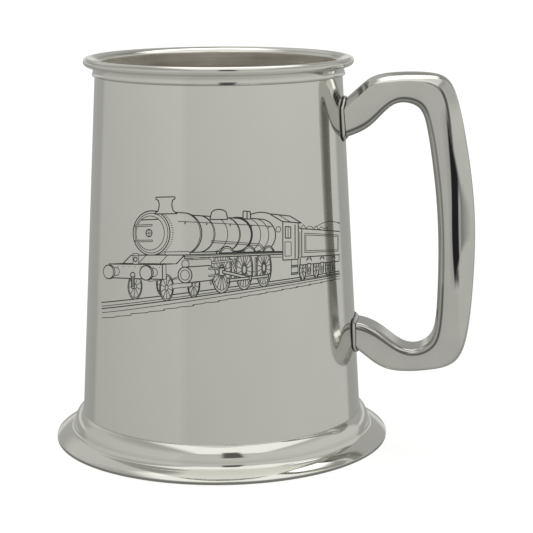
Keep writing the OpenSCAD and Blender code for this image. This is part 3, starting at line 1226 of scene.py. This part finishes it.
def make_camera():
    flat = math.cos(PITCH)
    forward = Vector((math.sin(HEADING) * flat, math.cos(HEADING) * flat, -math.sin(PITCH)))
    level = Vector((math.cos(HEADING), -math.sin(HEADING), 0))
    right = math.cos(ROLL) * level + math.sin(ROLL) * level.cross(forward)
    up = right.cross(forward)
    bearing = Vector((math.sin(BEARING), -math.cos(BEARING), 0))
    place = bearing * CAMERA_DISTANCE + Vector((0, 0, CAMERA_HEIGHT))
    data = bpy.data.cameras.new("camera")
    data.lens = CAMERA_LENS
    camera = bpy.data.objects.new("camera", data)
    bpy.context.scene.collection.objects.link(camera)
    turn = Matrix((right, up, -forward)).transposed()
    camera.matrix_world = Matrix.Translation(place) @ turn.to_4x4()
    bpy.context.scene.camera = camera


def make_floor():
    """A pale, glowing table that fills the view and is not seen in the metal."""
    mesh = bpy.data.meshes.new("studio_floor")
    corners = [(x * FLOOR_HALF, y * FLOOR_HALF, 0) for x, y in ((-1, -1), (1, -1), (1, 1), (-1, 1))]
    mesh.from_pydata(corners, [], [(0, 1, 2, 3)])
    floor = bpy.data.objects.new("studio_floor", mesh)
    bpy.context.scene.collection.objects.link(floor)
    floor.visible_glossy = False
    material = bpy.data.materials.new("studio_white")
    material.use_nodes = True
    tree = material.node_tree
    plug(tree, tree.nodes["Principled BSDF"], {
        "Base Color": (0.28, 0.28, 0.28, 1), "Roughness": 1.0, "Specular IOR Level": 0.0,
        "Emission Color": (1, 1, 1, 1), "Emission Strength": 0.82,
    })
    mesh.materials.append(material)


def dot(tree, direction, axis):
    sockets = {0: direction, 1: axis}
    return node(tree, "ShaderNodeVectorMath", sockets, operation="DOT_PRODUCT").outputs["Value"]


def step(tree, value, low, high):
    """0 below low, 1 above high, and a soft rise between."""
    return map_range(tree, value, low, high, interpolation_type="SMOOTHSTEP")


def inverse(tree, share):
    return math_node(tree, "SUBTRACT", 1.0, share)


def between(tree, value, low, high, soft):
    """1 from low to high, 0 outside, with edges that reach soft to either side."""
    rise = step(tree, value, low - soft, low + soft)
    return times(tree, rise, inverse(tree, step(tree, value, high - soft, high + soft)))


def blend(tree, share, a, b):
    """a where share is 0, b where it is 1."""
    return node(tree, "ShaderNodeMix", {0: share, 2: a, 3: b}, data_type="FLOAT").outputs[0]


def ramp(tree, value, low, high, stops):
    """Brightness by value, from (value, brightness) stops between low and high."""
    made = node(tree, "ShaderNodeValToRGB", {0: map_range(tree, value, low, high)})
    elements = made.color_ramp.elements
    for k, (place, brightness) in enumerate(stops):
        share = (place - low) / (high - low)
        element = elements[k] if k < 2 else elements.new(share)
        element.position = share
        element.color = (brightness, brightness, brightness, 1)
    return made.outputs[0]


def wall_light(tree, turn, up):
    """The walls, by bearing and height: a card at each side and a grey far wall."""
    side_cards = ramp(tree, turn, -math.pi, math.pi, [(math.radians(degrees), light) for degrees, light in (
        (-180, 0.44), (-133, 0.44), (-127, 0.565), (-35, 0.65), (-28, 0.6),
        (60, 0.665), (127, 0.665), (132, 0.44), (180, 0.44),
    )])
    by_height = ramp(tree, up, -1, 1, (
        (-1.0, 0.72), (-0.5, 0.8), (-0.24, 0.93), (-0.06, 1.0), (0.04, 1.05), (0.52, 1.05), (0.76, 0.8),
    ))
    wall = times(tree, side_cards, by_height)
    # The far wall is lighter just above the floor, and high up on its left
    far = inverse(tree, between(tree, turn, math.radians(-130), math.radians(130), 0.1))
    wall = blend(tree, times(tree, far, between(tree, up, 0.0, 0.13, 0.04)), wall, 0.75)
    far_left = inverse(tree, step(tree, turn, math.radians(-140), math.radians(-120)))
    return blend(tree, times(tree, far_left, step(tree, up, 0.3, 0.45)), wall, 0.64)


def overhead_light(tree, room, turn, up, towards, right):
    """A pale ceiling, a dark patch over the camera, and a bright box behind the tankard.

    The two sheets are placed by how far right and back they reach per unit up.
    """
    above = math_node(tree, "MAXIMUM", up, 0.05)
    to_right = math_node(tree, "DIVIDE", right, above)
    to_back = math_node(tree, "DIVIDE", times(tree, towards, -1.0), above)
    overhead = step(tree, up, 0.0, 0.1)
    pale = times(tree, between(tree, to_right, -0.45, 0.8, 0.12), between(tree, to_back, -1.1, 0.5, 0.08))
    bright = times(tree, between(tree, to_right, -0.25, 0.5, 0.12), between(tree, to_back, 0.36, 0.84, 0.06))
    patch_turn = between(tree, turn, 0, math.radians(16), math.radians(2))
    patch_up = between(tree, up, 0.26, 0.78, 0.04)
    room = blend(tree, times(tree, pale, overhead), room, 1.15)
    room = blend(tree, times(tree, patch_turn, patch_up), room, 0.12)
    return blend(tree, times(tree, bright, overhead), room, 2.4)


def make_world():
    """The studio's light by direction. The camera itself sees plain white."""
    world = bpy.data.worlds.new("studio")
    bpy.context.scene.world = world
    world.use_nodes = True
    tree = world.node_tree
    tree.nodes.clear()
    direction = node(tree, "ShaderNodeTexCoord").outputs["Generated"]
    up = dot(tree, direction, (0, 0, 1))
    towards = dot(tree, direction, (math.sin(BEARING), -math.cos(BEARING), 0))
    right = dot(tree, direction, (math.cos(BEARING), math.sin(BEARING), 0))
    turn = math_node(tree, "ARCTAN2", right, towards)
    lit = overhead_light(tree, wall_light(tree, turn, up), turn, up, towards, right)
    background = node(tree, "ShaderNodeBackground", {"Color": (1, 0.992, 0.955, 1), "Strength": lit})
    backdrop = node(tree, "ShaderNodeBackground", {"Color": (1, 1, 1, 1)})
    camera_ray = node(tree, "ShaderNodeLightPath").outputs["Is Camera Ray"]
    sockets = {0: camera_ray, 1: background.outputs[0], 2: backdrop.outputs[0]}
    chosen = node(tree, "ShaderNodeMixShader", sockets)
    node(tree, "ShaderNodeOutputWorld", {"Surface": chosen.outputs[0]})


make_camera()
make_floor()
make_world()
bpy.context.scene.view_settings.view_transform = "Standard"
bpy.context.scene.cycles.use_denoising = True
